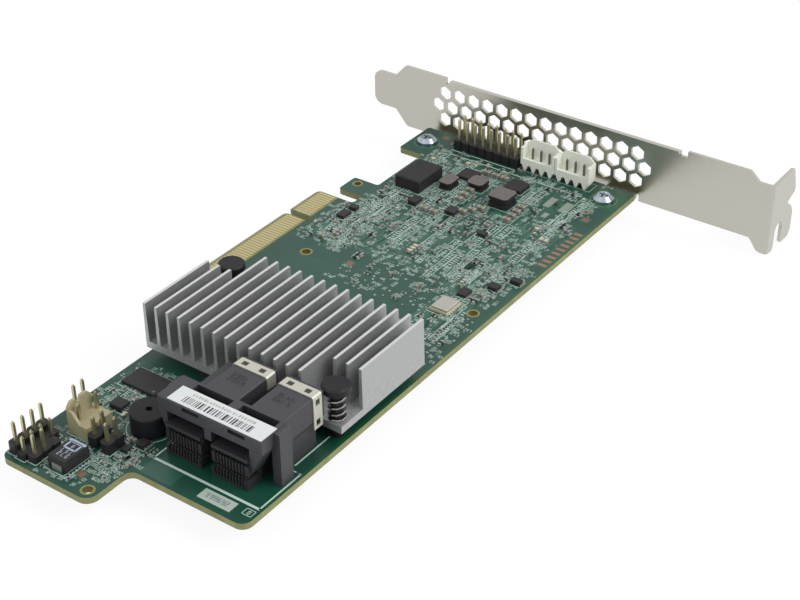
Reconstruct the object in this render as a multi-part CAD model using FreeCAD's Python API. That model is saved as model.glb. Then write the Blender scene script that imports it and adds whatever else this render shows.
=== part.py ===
"""RAID controller card: a low-profile PCI Express x8 board on a full-height bracket.

The card lies with its component side up.  Everything is laid out from the board's own corner
(bracket end, open long edge, component face) and moved to the row frame once, at the end:
+X runs along the board to the bracket, +Y across it to the gold edge contacts, +Z up.
"""
import FreeCAD
import Part
import math
import os

Vec = FreeCAD.Vector
X_AXIS, Y_AXIS, Z_AXIS = Vec(1, 0, 0), Vec(0, 1, 0), Vec(0, 0, 1)

# ---------------------------------------------------------------- driving dimensions, mm
BOARD_T = 1.57                  # PCI Express board thickness
BOARD_LENGTH = 167.65           # low-profile (MD2) length, to the end of the tail
BOARD_BODY = 155.65             # length on the open edge, in front of the tail's step
BOARD_HEIGHT = 68.90            # open edge to the tip of the edge contacts
TAIL_STEP_Y = 30.2              # where the tail starts to reach further out
TAIL_EDGE_Y = 55.3              # long edge behind the tail
SLOT_EDGE_Y = 57.3              # long edge beside the contacts, bracket end
BRACKET_EDGE_Y = 64.8           # corner that carries the far bracket screw
BRACKET_EDGE_X = -14.0

FINGER_PITCH = 1.0              # PCI Express contact pitch
FINGER_W = 0.7
FINGER_L = 5.0
FINGER_T = 0.05
FINGERS_SHORT = 11              # contacts on the short side of the key
FINGERS_LONG = 38               # contacts on the long side of an x8 edge
SHORT_TONGUE = (-44.90, -56.55)
LONG_TONGUE = (-58.45, -97.10)
KEY_DEPTH = 8.0
TONGUE_BEVEL_L, TONGUE_BEVEL_H = 1.3, 0.4

BRACKET_T = 0.86                # standard bracket sheet
BRACKET_X = 2.2                 # inner face of the bracket
BRACKET_LOW, BRACKET_HIGH = -3.2, 15.22
BRACKET_TIP_Y = 84.8            # end of the tongue that enters the chassis
BRACKET_LENGTH = 120.02         # seating face of the screw tab to the tip
SCREW_TAB_REACH = 13.0
LIP_DEPTH = 2.1
LIP_ENDS = (-10.4, 58.6)
NOTCH_W, NOTCH_D = 2.0, 1.7
VENT_PITCH, VENT_FLATS = 4.57, 3.60
VENT_TOP_Z, VENT_FIRST_Y = 10.55, 1.55
VENT_COLUMNS = 14
SCREW_AT = ((-7.3, 5.4), (-7.3, 60.3))
SCREW_R, SCREW_HEAD_R, SCREW_HEAD_H = 1.5, 2.7, 1.7
BOARD_TAB_W, BOARD_TAB_END = 9.0, -11.4

TOOLING_R = 1.1
TOOLING_AT = ((-165.1, 32.8), (-70.1, 52.5), (-69.2, 4.3))
RETAINER_TAB = (-34.0, -41.0)   # hook tab beside the contacts
RETAINER_HOLE = (-36.3, 62.2)
RETAINER_R = 0.9

SINK_X = (-124.5, -94.8)        # heat sink footprint
SINK_Y = (0.0, 54.2)
SINK_BASE = (2.6, 4.4)          # underside and top of its base plate
SINK_TOP = 14.4                 # tallest a PCI Express card may stand is 14.47
FIN_COUNT = 17
FIN_FOOT, FIN_TIP = 1.0, 0.70
SINK_CUT_FINS = 3               # fins cut short beside each push pin
SINK_CUT_X = (7.4, 8.6)
PIN_INSETS = ((2.3, 2.8), (4.6, 3.9))
PIN_R, PIN_HEAD_R = 1.40, 3.15
PIN_HEAD = (11.5, 13.1)
SPRING_R, SPRING_WIRE, SPRING_TURNS = 1.80, 0.24, 5.5

CHIP_SIDE, CHIP_TOP = 27.0, 2.35
HEADER_PITCH = 2.54
HEADER_H = 2.54
LOW_HEADER_H = 1.5
PIN_W = 0.64
PIN_TAIL = 1.2                  # pin ends below the board's underside

SAS_FRONT, SAS_REAR = -146.0, -125.7
SAS_BAR_REAR, SAS_BODY_FRONT = -137.9, -139.0
SAS_TOP, SAS_SHOULDER = 13.2, 9.9
SAS_BAR_Y = (2.8, 30.2)
SAS_PORT_FRONT = -146.8
SAS_PORT_PITCH, SAS_PORT_W = 12.2, 9.4
SAS_PORT_Y = 10.9               # middle of the port nearer the open edge
SAS_TOWER_PITCH, SAS_TOWER_W = 12.0, 8.8
SAS_TOWER_Y = 7.8
SAS_CONTACT_PITCH, SAS_RIBS = 0.8, 11
CLIP_T = 0.25

# ---------------------------------------------------------------- row frame
screw_tab_face = BRACKET_TIP_Y - BRACKET_LENGTH - BRACKET_T
bracket_outer = BRACKET_X + BRACKET_T
screw_tab_end = bracket_outer + SCREW_TAB_REACH
EAR_LOW = -7.3
ORIGIN = Vec((screw_tab_end - BOARD_LENGTH) / 2, (BRACKET_TIP_Y + screw_tab_face) / 2, EAR_LOW)


# ---------------------------------------------------------------- helpers
def box(x, y, z):
    """Box from three (low, high) spans, given in either order."""
    low = Vec(min(x), min(y), min(z))
    return Part.makeBox(abs(x[1] - x[0]), abs(y[1] - y[0]), abs(z[1] - z[0]), low)


def box_at(x, y, length, width, z):
    """Box centred on (x, y)."""
    return box((x - length / 2, x + length / 2), (y - width / 2, y + width / 2), z)


def rod(x, y, radius, z):
    return Part.makeCylinder(radius, abs(z[1] - z[0]), Vec(x, y, min(z)), Z_AXIS)


def rounded_wire(corners, place):
    """Closed wire through (u, v, radius) corners, each rounded by a tangent arc.

    place turns (u, v) into a point in space, so one outline serves any plane."""
    ends, arcs = [], []
    count = len(corners)
    for i, (u, v, radius) in enumerate(corners):
        here = Vec(u, v, 0)
        back = Vec(corners[i - 1][0], corners[i - 1][1], 0) - here
        ahead = Vec(corners[(i + 1) % count][0], corners[(i + 1) % count][1], 0) - here
        back.normalize()
        ahead.normalize()
        if radius <= 0:
            ends.append((here, here))
            arcs.append(None)
            continue
        half = back.getAngle(ahead) / 2
        run = radius / math.tan(half)
        bisector = back + ahead
        bisector.normalize()
        middle = here + bisector * (radius / math.sin(half) - radius)
        ends.append((here + back * run, here + ahead * run))
        arcs.append(middle)
    edges = []
    for i in range(count):
        start, stop = ends[i]
        if arcs[i] is not None:
            points = [place(p.x, p.y) for p in (start, arcs[i], stop)]
            edges.append(Part.Arc(*points).toShape())
        following = ends[(i + 1) % count][0]
        if stop.distanceToPoint(following) > 1e-6:
            edges.append(Part.LineSegment(place(stop.x, stop.y), place(following.x, following.y)).toShape())
    return Part.Wire(edges)


def plate(corners, place, depth):
    """Solid of a rounded outline, pushed through depth (a vector)."""
    return Part.Face(rounded_wire(corners, place)).extrude(depth)


def fuse(first, *others):
    return first.fuse(list(others)).removeSplitter()


def regular_prism(y, z, flats, x):
    """Hexagonal prism along X with its points up and down."""
    corner = flats / math.sqrt(3)
    points = []
    for i in range(6):
        turn = math.radians(30 + 60 * i)
        points.append(Vec(x[0], y + corner * math.cos(turn), z + corner * math.sin(turn)))
    face = Part.Face(Part.makePolygon(points + points[:1]))
    return face.extrude(Vec(x[1] - x[0], 0, 0))


def grid(x0, y0, columns, rows, pitch=HEADER_PITCH):
    return [(x0 + pitch * i, y0 + pitch * j) for j in range(rows) for i in range(columns)]


nodes = {}


def node(name, *solids):
    """Keep a sub-part: one solid, or a group of separate ones, moved to the row frame."""
    shape = solids[0] if len(solids) == 1 else Part.makeCompound(list(solids))
    shape = shape.copy()
    shape.translate(-ORIGIN)
    nodes[name] = shape


# ---------------------------------------------------------------- circuit board
def tongue_bevel(ends, z_face, inward):
    """Wedge that thins the tip of a contact tongue on one face."""
    tip = BOARD_HEIGHT
    points = [Vec(ends[0], tip - TONGUE_BEVEL_L, z_face), Vec(ends[0], tip + 1, z_face),
              Vec(ends[0], tip + 1, z_face + inward * TONGUE_BEVEL_H * 1.8),
              Vec(ends[0], tip, z_face + inward * TONGUE_BEVEL_H)]
    return Part.Face(Part.makePolygon(points + points[:1])).extrude(Vec(ends[1] - ends[0], 0, 0))


def board_outline():
    key = BOARD_HEIGHT - KEY_DEPTH
    key_r = (SHORT_TONGUE[1] - LONG_TONGUE[0]) / 2 - 0.01
    chamfer = 0.6
    tip = BOARD_HEIGHT - chamfer
    return [(0, 0, 0.6), (0, BRACKET_EDGE_Y, 0.8), (BRACKET_EDGE_X, BRACKET_EDGE_Y, 0.8),
            (BRACKET_EDGE_X, SLOT_EDGE_Y, 1.2), (RETAINER_TAB[0], SLOT_EDGE_Y, 0.8),
            (RETAINER_TAB[0], BRACKET_EDGE_Y, 0.8), (RETAINER_TAB[1], BRACKET_EDGE_Y, 0.8),
            (RETAINER_TAB[1], SLOT_EDGE_Y, 1.0), (SHORT_TONGUE[0], SLOT_EDGE_Y, 1.0),
            (SHORT_TONGUE[0], tip, 0), (SHORT_TONGUE[0] - chamfer, BOARD_HEIGHT, 0),
            (SHORT_TONGUE[1] + chamfer, BOARD_HEIGHT, 0), (SHORT_TONGUE[1], tip, 0),
            (SHORT_TONGUE[1], key, key_r), (LONG_TONGUE[0], key, key_r),
            (LONG_TONGUE[0], tip, 0), (LONG_TONGUE[0] - chamfer, BOARD_HEIGHT, 0),
            (LONG_TONGUE[1] + chamfer, BOARD_HEIGHT, 0), (LONG_TONGUE[1], tip, 0),
            (LONG_TONGUE[1], TAIL_EDGE_Y, 1.0), (-BOARD_LENGTH, TAIL_EDGE_Y, 2.2),
            (-BOARD_LENGTH, TAIL_STEP_Y, 2.8), (-BOARD_BODY, TAIL_STEP_Y, 2.2), (-BOARD_BODY, 0, 2.5)]


def make_board(pin_holes):
    board = plate(board_outline(), lambda u, v: Vec(u, v, -BOARD_T), Vec(0, 0, BOARD_T))
    through = (-BOARD_T - 1, 1)
    cuts = [rod(x, y, TOOLING_R, through) for x, y in TOOLING_AT]
    cuts.append(rod(RETAINER_HOLE[0], RETAINER_HOLE[1], RETAINER_R, through))
    cuts += [rod(x, y, SCREW_R, through) for x, y in SCREW_AT]
    cuts += [rod(x, y, PIN_R, through) for x, y in push_pin_places()]
    # each pin's hole has the pin's own section: the solder round it counts as board
    cuts += [box_at(x, y, width, width, through) for x, y, width in pin_holes]
    for ends in (SHORT_TONGUE, LONG_TONGUE):
        cuts.append(tongue_bevel(ends, 0, -1))
        cuts.append(tongue_bevel(ends, -BOARD_T, 1))
    node("circuit_board", board.cut(cuts))


def make_fingers():
    """Gold contacts on both faces, either side of the key."""
    pads = []
    tip = BOARD_HEIGHT - TONGUE_BEVEL_L - 0.1
    for start, count in ((SHORT_TONGUE[1], FINGERS_SHORT), (LONG_TONGUE[1], FINGERS_LONG)):
        span = abs(SHORT_TONGUE[0] - SHORT_TONGUE[1]) if count == FINGERS_SHORT else abs(
            LONG_TONGUE[0] - LONG_TONGUE[1])
        margin = (span - (count - 1) * FINGER_PITCH) / 2
        for i in range(count):
            x = start + margin + i * FINGER_PITCH
            for z in ((0, FINGER_T), (-BOARD_T - FINGER_T, -BOARD_T)):
                pads.append(box((x - FINGER_W / 2, x + FINGER_W / 2), (tip - FINGER_L, tip), z))
    node("edge_contacts", *pads)


def make_copper_pads():
    """Bare copper: registration squares and the row of test lands on the open edge."""
    lands = [box_at(x, y, 1.8, 1.8, (0, 0.04)) for x, y in
             ((-162.3, 37.3), (-68.3, 40.5), (-18.5, 4.1), (-2.6, 57.2))]
    lands += [box_at(-42.6 + 2.12 * i, 2.0, 0.95, 2.3, (0, 0.04)) for i in range(9)]
    node("copper_pads", *lands)


# ---------------------------------------------------------------- bracket
def bracket_body():
    tongue_low, tongue_high = 1.2, 11.4
    high = BRACKET_HIGH
    near, far = LIP_ENDS
    shelf = high - NOTCH_D
    bend = screw_tab_face + 0.01
    outline = [(BRACKET_TIP_Y, tongue_low, 2.5), (77.6, tongue_low, 0.8), (73.8, BRACKET_LOW, 1.2),
               (-31.0, BRACKET_LOW, 0.8), (-33.4, -6.6, 2.0), (bend, -6.6, 0.0), (bend, 12.8, 0.0),
               (-32.0, 12.8, 0.8), (-29.4, high, 1.0), (near - NOTCH_W, high, 0),
               (near - NOTCH_W, shelf, 0), (near, shelf, 0), (near, high, 0), (far, high, 0),
               (far, shelf, 0), (far + NOTCH_W, shelf, 0), (far + NOTCH_W, high, 0),
               (74.2, high, 1.2), (77.6, tongue_high, 0.8), (BRACKET_TIP_Y, tongue_high, 2.5)]
    return plate(outline, lambda u, v: Vec(BRACKET_X, u, v), Vec(BRACKET_T, 0, 0))


def bent_strip(corners, place, depth, thickness):
    """Folded sheet: corners give the outer line of an L section and its bend radius."""
    (u0, v0), (u1, v1, radius), (u2, v2) = corners
    inner = max(radius - thickness, 0.05)
    along = 1 if u2 > u1 else -1
    down = 1 if v0 > v1 else -1
    outline = [(u0, v0, 0), (u1, v1, radius), (u2, v2, 0), (u2, v2 + down * thickness, 0),
               (u1 + along * thickness, v1 + down * thickness, inner),
               (u1 + along * thickness, v0, 0)]
    return plate(outline, place, depth)


def screw_tab():
    """Tab bent outwards at the end, with the open slot for the chassis screw."""
    out = screw_tab_end
    slot_x, slot_r, slot_end = bracket_outer + 5.1, 2.2, -2.3
    outline = [(BRACKET_X, 12.8, 0), (out - 2.0, 12.8, 0.8), (out, 6.8, 0.8), (out, 5.4, 0.5),
               (out - 4.2, 3.9, 0.5), (out - 1.3, 1.7, 0.5), (out, -0.4, 1.0), (out, -5.8, 1.5),
               (out - 1.4, EAR_LOW, 1.0), (slot_x + slot_r, EAR_LOW, 0.9), (slot_x + slot_r, slot_end, 0),
               (slot_x - slot_r, slot_end, 0), (slot_x - slot_r, EAR_LOW, 1.0), (BRACKET_X, -6.6, 0)]
    tab = plate(outline, lambda u, v: Vec(u, screw_tab_face, v), Vec(0, BRACKET_T, 0))
    span = (screw_tab_face - 1, screw_tab_face + BRACKET_T + 1)
    slot = Part.makeCylinder(slot_r, span[1] - span[0], Vec(slot_x, span[0], slot_end), Y_AXIS)
    return tab.cut(slot)


def board_tab(x, y):
    """Tab folded in under the board, taking one bracket screw."""
    top = -BOARD_T
    low = top - BRACKET_T
    corners = [(bracket_outer, top + 1.2), (bracket_outer, low, BRACKET_T + 0.3), (BOARD_TAB_END, low)]
    fold = bent_strip(corners, lambda u, v: Vec(u, y - BOARD_TAB_W / 2, v), Vec(0, BOARD_TAB_W, 0), BRACKET_T)
    corner = box((BOARD_TAB_END - 1, x), (y - BOARD_TAB_W, y + BOARD_TAB_W), (low - 1, top + 0.01))
    round_end = rod(x, y, BOARD_TAB_W / 2, (low - 1, top + 1))
    return fold.cut([corner.cut(round_end), rod(x, y, SCREW_R, (low - 1, top + 1))])


def make_bracket():
    through = (BRACKET_X - 1, bracket_outer + 1)
    body = bracket_body()
    cuts = []
    for row in range(3):
        shift = VENT_PITCH / 2 if row == 1 else 0
        for column in range(VENT_COLUMNS + (row == 1)):
            y = VENT_FIRST_Y - shift + column * VENT_PITCH
            z = VENT_TOP_Z - row * VENT_PITCH * math.sqrt(3) / 2
            cuts.append(regular_prism(y, z, VENT_FLATS, through))
    # relief slots each side of the two board tabs, and the strip that folds into each
    relief = BOARD_TAB_W / 2 + 0.6
    for _, y in SCREW_AT:
        cuts.append(box(through, (y - relief, y + relief), (BRACKET_LOW - 1, -1.2)))
    body = body.cut(cuts)
    lip_radius = BRACKET_T + 0.25
    lip = bent_strip([(bracket_outer, BRACKET_HIGH - 2.5), (bracket_outer, BRACKET_HIGH, lip_radius),
                      (bracket_outer - LIP_DEPTH, BRACKET_HIGH)],
                     lambda u, v: Vec(u, LIP_ENDS[0], v), Vec(0, LIP_ENDS[1] - LIP_ENDS[0], 0), BRACKET_T)
    edge = box((BRACKET_X - 0.5, bracket_outer + 0.5), LIP_ENDS, (BRACKET_HIGH - 1.3, BRACKET_HIGH + 1))
    tabs = [board_tab(x, y) for x, y in SCREW_AT]
    bracket = fuse(body.cut(edge), lip, screw_tab(), *tabs)
    bend = [e for e in bracket.Edges if abs(e.CenterOfMass.x - BRACKET_X) < 0.05
            and abs(e.CenterOfMass.y - screw_tab_face) < 0.05 and e.Length > 15]
    if bend:
        bracket = bracket.makeFillet(BRACKET_T, bend)
    node("bracket", bracket)


def phillips_recess(x, y, top):
    """Cross recess that narrows towards its floor."""
    wings = []
    for turn in (0, 90):
        top_half, low_half, deep = 1.45, 0.6, 1.1
        points = [Vec(-top_half, -0.28, 0.1), Vec(top_half, -0.28, 0.1), Vec(low_half, -0.28, -deep),
                  Vec(-low_half, -0.28, -deep)]
        wing = Part.Face(Part.makePolygon(points + points[:1])).extrude(Vec(0, 0.56, 0))
        wing.rotate(Vec(0, 0, 0), Z_AXIS, turn)
        wings.append(wing)
    cross = fuse(*wings)
    cross.translate(Vec(x, y, top))
    return cross


def turned(profile, x, y):
    """Solid turned from (radius, height) corners about an upright axis at (x, y)."""
    corners = [Vec(r, 0, z) for r, z in profile]
    solid = Part.Face(Part.makePolygon(corners + corners[:1])).revolve(Vec(0, 0, 0), Z_AXIS, 360)
    solid.translate(Vec(x, y, 0))
    return solid


def make_screws():
    """Pan-head screws through the board into the bracket's tabs."""
    low = -BOARD_T - BRACKET_T - 0.7
    profile = [(0, low), (SCREW_R, low), (SCREW_R, 0), (SCREW_HEAD_R, 0), (SCREW_HEAD_R, 0.8),
               (SCREW_HEAD_R - 1.0, SCREW_HEAD_H), (0, SCREW_HEAD_H)]
    screws = [turned(profile, x, y).cut(phillips_recess(x, y, SCREW_HEAD_H)) for x, y in SCREW_AT]
    node("bracket_screws", *screws)


# ---------------------------------------------------------------- heat sink and its fixings
def push_pin_places():
    """Diagonal corners of the heat sink: tail end on the open edge, bracket end on the far one."""
    near, far = PIN_INSETS
    return ((SINK_X[0] + near[0], SINK_Y[0] + near[1]), (SINK_X[1] - far[0], SINK_Y[1] - far[1]))


def fin_y(i):
    first = SINK_Y[0] + FIN_FOOT / 2
    return first + i * (SINK_Y[1] - SINK_Y[0] - FIN_FOOT) / (FIN_COUNT - 1)


def make_heat_sink():
    """Aluminium extrusion: one comb section along X, with two corners milled down to the base."""
    base_low, base_top = SINK_BASE
    points = [(SINK_Y[0], base_low), (SINK_Y[0], base_top)]
    for i in range(FIN_COUNT):
        y = fin_y(i)
        points += [(y - FIN_FOOT / 2, base_top), (y - FIN_TIP / 2, SINK_TOP),
                   (y + FIN_TIP / 2, SINK_TOP), (y + FIN_FOOT / 2, base_top)]
    points += [(SINK_Y[1], base_top), (SINK_Y[1], base_low)]
    tidy = [points[0]]
    for point in points[1:]:
        if math.dist(point, tidy[-1]) > 1e-6:
            tidy.append(point)
    corners = [Vec(SINK_X[0], y, z) for y, z in tidy]
    sink = Part.Face(Part.makePolygon(corners + corners[:1])).extrude(Vec(SINK_X[1] - SINK_X[0], 0, 0))
    half_gap = (fin_y(1) - fin_y(0)) / 2
    near_cut = fin_y(SINK_CUT_FINS) - half_gap
    far_cut = fin_y(FIN_COUNT - 1 - SINK_CUT_FINS) + half_gap
    above = (base_top, SINK_TOP + 1)
    cuts = [box((SINK_X[0] - 1, SINK_X[0] + SINK_CUT_X[0]), (SINK_Y[0] - 1, near_cut), above),
            box((SINK_X[1] - SINK_CUT_X[1], SINK_X[1] + 1), (far_cut, SINK_Y[1] + 1), above)]
    cuts += [rod(x, y, PIN_R, (base_low - 1, base_top + 1)) for x, y in push_pin_places()]
    node("heat_sink", sink.cut(cuts))


def coil_spring(x, y, z):
    """Closed-ended wire coil between two heights, as a chain of short five-sided lengths."""
    steps, sides = 10, 5
    low, high = z[0] + SPRING_WIRE, z[1] - SPRING_WIRE
    stations = []
    for i in range(int(SPRING_TURNS * steps) + 1):
        turn = 2 * math.pi * i / steps
        share = min(max(i / steps - 0.75, 0) / (SPRING_TURNS - 1.5), 1)
        rise = low + (high - low) * share
        ring = []
        for j in range(sides):
            round_wire = 2 * math.pi * j / sides
            r = SPRING_R + SPRING_WIRE * math.cos(round_wire)
            height = rise + SPRING_WIRE * math.sin(round_wire)
            ring.append(Vec(x + r * math.cos(turn), y + r * math.sin(turn), height))
        stations.append(ring)
    faces = [Part.Face(Part.makePolygon(ring + ring[:1])) for ring in (stations[0], stations[-1])]
    for here, ahead in zip(stations, stations[1:]):
        for j in range(sides):
            k = (j + 1) % sides
            faces.append(Part.Face(Part.makePolygon([here[j], here[k], ahead[k], here[j]])))
            faces.append(Part.Face(Part.makePolygon([here[j], ahead[k], ahead[j], here[j]])))
    return Part.Solid(Part.Shell(faces))


def make_push_pins():
    """Barbed plastic pins that hold the heat sink down through their springs."""
    pins, springs = [], []
    barb_r, tip_low = 1.95, -BOARD_T - 2.6
    shoulder, crown = PIN_HEAD
    profile = [(0, tip_low), (0.9, tip_low), (barb_r, -BOARD_T - 0.02), (PIN_R, -BOARD_T - 0.02),
               (PIN_R, shoulder), (PIN_HEAD_R, shoulder), (PIN_HEAD_R, crown - 0.35),
               (PIN_HEAD_R - 0.4, crown), (0, crown)]
    for x, y in push_pin_places():
        split = box((x - 0.35, x + 0.35), (y - 3, y + 3), (tip_low - 1, -BOARD_T + 0.4))
        pins.append(turned(profile, x, y).cut(split))
        springs.append(coil_spring(x, y, (SINK_BASE[1], shoulder)))
    node("push_pins", *pins)
    node("push_pin_springs", *springs)


def make_controller():
    """Flip-chip package under the heat sink, and the pad that couples the two."""
    x = sum(SINK_X) / 2
    y = sum(SINK_Y) / 2
    substrate = box_at(x, y, CHIP_SIDE, CHIP_SIDE, (0, 1.3))
    lid = box_at(x, y, CHIP_SIDE - 4, CHIP_SIDE - 4, (1.3, CHIP_TOP))
    node("controller_chip", fuse(substrate, lid))
    node("thermal_pad", box_at(x, y, CHIP_SIDE - 5, CHIP_SIDE - 5, (CHIP_TOP, SINK_BASE[0])))


# ---------------------------------------------------------------- pin headers
pin_places = []


def pin(x, y, top, width=PIN_W):
    """Square post with a four-sided point, soldered through the board."""
    low, half = -BOARD_T - PIN_TAIL, width / 2
    post = box_at(x, y, width, width, (low, top - 0.5))
    point = Part.makeWedge(-half, 0, -half, -half * 0.4, -half * 0.4, half, 0.5, half, half * 0.4, half * 0.4)
    point.rotate(Vec(0, 0, 0), X_AXIS, 90)
    point.translate(Vec(x, y, top - 0.5))
    pin_places.append((x, y, width))
    return fuse(post, point)


def header_base(x0, y0, columns, rows, height):
    """Moulded strip: one cell per pin, with a notch between neighbours on every side."""
    half, chip = HEADER_PITCH / 2, 0.42
    low, high_x = (x0 - half, y0 - half), x0 + (columns - 0.5) * HEADER_PITCH
    high_y = y0 + (rows - 0.5) * HEADER_PITCH
    points = []
    for i in range(columns):
        left = low[0] + i * HEADER_PITCH
        right = left + HEADER_PITCH
        points += [(left + chip, low[1]), (right - chip, low[1]), (right, low[1] + chip)]
    points[-1] = (high_x, low[1] + chip)
    for j in range(rows):
        start = low[1] + j * HEADER_PITCH
        points += [(high_x, start + HEADER_PITCH - chip), (high_x - chip, start + HEADER_PITCH)]
        if j < rows - 1:
            points.append((high_x, start + HEADER_PITCH + chip))
    for i in reversed(range(columns)):
        left = low[0] + i * HEADER_PITCH
        points += [(left + chip, high_y), (left, high_y - chip)]
        if i > 0:
            points.append((left - chip, high_y))
    for j in reversed(range(rows)):
        start = low[1] + j * HEADER_PITCH
        points += [(low[0], start + chip), (low[0] + chip, start)]
        if j > 0:
            points.append((low[0], start - chip))
    tidy = []
    for point in points:
        if not tidy or math.dist(point, tidy[-1]) > 1e-6:
            tidy.append(point)
    if math.dist(tidy[0], tidy[-1]) < 1e-6:
        tidy.pop()
    corners = [Vec(px, py, 0) for px, py in tidy]
    return Part.Face(Part.makePolygon(corners + corners[:1])).extrude(Vec(0, 0, height))


def make_header(name, x0, y0, columns, rows, pin_top, height=HEADER_H, fitted=None):
    """Plain pin header; fitted is how many of its pins are there, where some are left out."""
    places = grid(x0, y0, columns, rows)[:fitted]
    holes = [box_at(x, y, PIN_W, PIN_W, (-1, height + 1)) for x, y in places]
    node(name + "_base", header_base(x0, y0, columns, rows, height).cut(holes))
    node(name + "_pins", *[pin(x, y, pin_top) for x, y in places])


def make_key_header():
    """Cream fan header: a floor with one high wall behind the pins, the middle pin left out."""
    x, y = (-154.0, -146.6), (43.5, 49.1)
    floor, wall, wall_t = 3.2, 7.6, 0.8
    pins = [(-152.45 + HEADER_PITCH * i, 47.0) for i in (0, 2)]
    end = x[1] - 0.9
    outline = [(x[0], floor - 1, 0), (end, floor - 1, 0), (end, wall - 0.9, 0.5), (end - 0.8, wall, 0.5),
               (x[0] + 3.9, wall, 0.3), (x[0] + 3.4, wall - 1.0, 0.4), (x[0] + 2.7, wall - 1.0, 0.4),
               (x[0] + 2.2, wall, 0.3), (x[0] + 1.1, wall, 0.5), (x[0], wall - 1.2, 0.5)]
    back = plate(outline, lambda u, v: Vec(u, y[1] - wall_t, v), Vec(0, wall_t, 0))
    cheek = [(y[1], floor - 1, 0), (y[1], wall - 1.4, 0), (y[1] - 1.5, wall - 1.9, 0.4),
             (y[1] - 3.4, floor, 0.3), (y[1] - 3.4, floor - 1, 0)]
    side = plate(cheek, lambda u, v: Vec(x[0], u, v), Vec(0.7, 0, 0))
    shroud = fuse(box(x, y, (0.5, floor)), back, side, box((x[0], x[0] + 1.2), y, (0, 1)),
                  box((x[1] - 1.2, x[1]), y, (0, 1)))
    grooves = [box_at(x[0] + 2.6 + 1.3 * i, y[0], 0.4, 0.8, (-1, floor + 1)) for i in range(3)]
    holes = [box_at(px, py, PIN_W, PIN_W, (-1, wall + 1)) for px, py in pins]
    node("key_header_shroud", shroud.cut(grooves + holes))
    node("key_header_pins", *[pin(px, py, 7.5) for px, py in pins])


def make_cable_headers():
    """Two white wafers beside the bracket: trays with a high back, on small tapered feet."""
    shrouds, pins = [], []
    x = (-5.5, -2.1)
    width, top, foot, wall, floor, lip = 10.25, 8.0, 1.6, 0.5, 2.9, 3.4
    for low_y in (10.9, 21.3):
        y = (low_y, low_y + width)
        middle = sum(y) / 2
        tray = box(x, y, (foot, top - 1.5))
        hollow = box((x[0] + wall, x[1] - wall), (y[0] + wall, y[1] - wall), (floor, top + 1))
        arch = [(y[0], foot, 0), (y[1], foot, 0), (y[1], top - 1.5, 0.3), (y[1] - 1.6, top, 1.0),
                (y[0] + 1.6, top, 1.0), (y[0], top - 1.5, 0.3)]
        back = plate(arch, lambda u, v: Vec(x[1] - wall, u, v), Vec(wall, 0, 0))
        window = [(y[0] + 0.7, lip, 0.3), (y[1] - 0.7, lip, 0.3), (y[1] - 0.7, top, 0), (y[0] + 0.7, top, 0)]
        front_cut = plate(window, lambda u, v: Vec(x[0] - 1, u, v), Vec(1 + wall + 0.01, 0, 0))
        feet = []
        for step in (-1.5, -0.5, 0.5, 1.5):
            foot_y = middle + step * HEADER_PITCH
            taper = [(foot_y - 0.9, foot, 0), (foot_y + 0.9, foot, 0), (foot_y + 0.3, 0, 0),
                     (foot_y - 0.3, 0, 0)]
            feet.append(plate(taper, lambda u, v: Vec(x[0], u, v), Vec(x[1] - x[0], 0, 0)))
        places = [(-3.6, middle + HEADER_PITCH * i) for i in (-1, 0, 1)]
        holes = [box_at(px, py, 0.5, 0.5, (-1, top + 1)) for px, py in places]
        shrouds.append(fuse(tray.cut(hollow).cut(front_cut), back, *feet).cut(holes))
        pins += [pin(px, py, 6.2, 0.5) for px, py in places]
    node("cable_header_shrouds", *shrouds)
    node("cable_header_pins", *pins)


# ---------------------------------------------------------------- twin internal connector
def sas_port_span(i):
    middle = SAS_PORT_Y + i * SAS_PORT_PITCH
    return (middle - SAS_PORT_W / 2, middle + SAS_PORT_W / 2)


def sas_tower_span(i):
    middle = SAS_TOWER_Y + i * SAS_TOWER_PITCH
    return (middle - SAS_TOWER_W / 2, middle + SAS_TOWER_W / 2)


def sas_gusset(outer, inner):
    """Sloping web that runs from the end of the latch bar down to the foot of the port beside it."""
    top = SAS_SHOULDER + 0.1
    section = [(outer, top, 0), (inner, top, 0), (inner, 3.4, 0), (outer, SAS_SHOULDER, 0)]
    return plate(section, lambda u, v: Vec(SAS_FRONT, u, v), Vec(3.8, 0, 0))


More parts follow.
